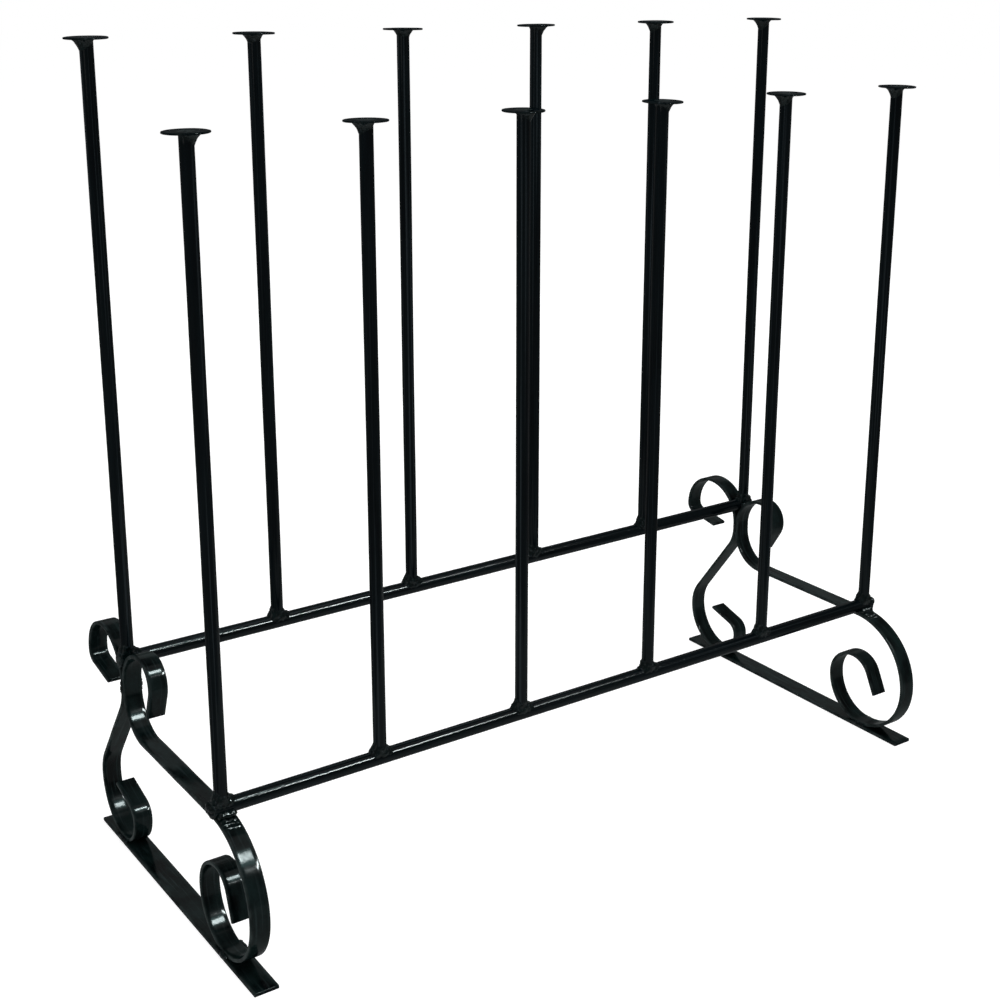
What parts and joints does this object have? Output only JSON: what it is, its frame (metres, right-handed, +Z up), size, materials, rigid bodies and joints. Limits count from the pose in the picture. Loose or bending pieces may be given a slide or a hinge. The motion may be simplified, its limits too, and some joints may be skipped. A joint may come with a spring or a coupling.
{
  "type": "boot rack",
  "caption": "Free-standing welded steel boot rack: upright posts with disc tops in two rows, on a low front rail and a higher back rail, with scrolled strip ends on foot bars.",
  "frame": {"origin": "floor level, midway along the rails, midway between the front scrolls' and back scrolls' outer faces", "axes": "+X along the rails to the right seen from the front, +Y to the back (the higher rail), +Z up"},
  "size_m": [0.708, 0.3114, 0.6699],
  "materials": {
    "rod_paint": "gloss black paint on drawn rod",
    "strip_paint": "gloss black paint on rolled flat bar",
    "cap_paint": "gloss black paint on pressed discs",
    "weld_paint": "gloss black paint over lumpy weld metal"
  },
  "bodies": {
    "root": {"front_rail": "rod_paint", "front_post_1": "rod_paint", "front_cap_1": "cap_paint", "front_post_2": "rod_paint", "front_cap_2": "cap_paint", "front_post_3": "rod_paint", "front_cap_3": "cap_paint", "front_post_4": "rod_paint", "front_cap_4": "cap_paint", "front_post_5": "rod_paint", "front_cap_5": "cap_paint", "front_post_6": "rod_paint", "front_cap_6": "cap_paint", "front_post_welds": "weld_paint", "front_cap_welds": "weld_paint", "front_rail_welds": "weld_paint", "back_rail": "rod_paint", "back_post_1": "rod_paint", "back_cap_1": "cap_paint", "back_post_2": "rod_paint", "back_cap_2": "cap_paint", "back_post_3": "rod_paint", "back_cap_3": "cap_paint", "back_post_4": "rod_paint", "back_cap_4": "cap_paint", "back_post_5": "rod_paint", "back_cap_5": "cap_paint", "back_post_6": "rod_paint", "back_cap_6": "cap_paint", "back_post_welds": "weld_paint", "back_cap_welds": "weld_paint", "back_rail_welds": "weld_paint", "left_foot_bar": "strip_paint", "left_front_scroll": "strip_paint", "left_back_scroll": "strip_paint", "left_foot_welds": "weld_paint", "right_foot_bar": "strip_paint", "right_front_scroll": "strip_paint", "right_back_scroll": "strip_paint", "right_foot_welds": "weld_paint", "waist_welds": "weld_paint"}
  },
  "joints": []
}
